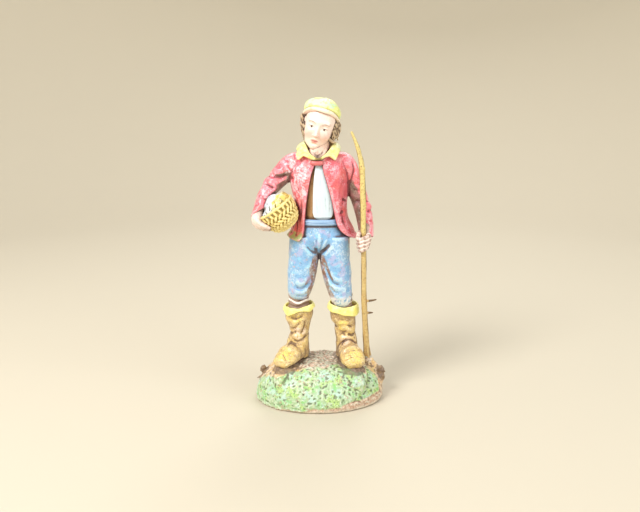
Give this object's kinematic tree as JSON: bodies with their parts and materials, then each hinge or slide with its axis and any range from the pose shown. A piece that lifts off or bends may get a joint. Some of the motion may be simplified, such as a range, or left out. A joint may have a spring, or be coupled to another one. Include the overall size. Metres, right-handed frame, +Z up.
{
  "type": "presepe figure",
  "caption": "Painted nativity-scene figure of a standing boy with a basket on his hip and a staff, on a grassy mound.",
  "frame": {"origin": "middle of the mound's underside, on the surface that the figure stands on", "axes": "+Z up, the boy faces -Y, and his left hand with the staff is towards +X"},
  "size_m": [0.0522, 0.0387, 0.1195],
  "materials": {
    "painted_casting": "painted by hand in red, blue, yellow and green, with a brown wash in the recesses and a satin varnish"
  },
  "bodies": {
    "root": {"figure": "painted_casting"}
  },
  "joints": []
}
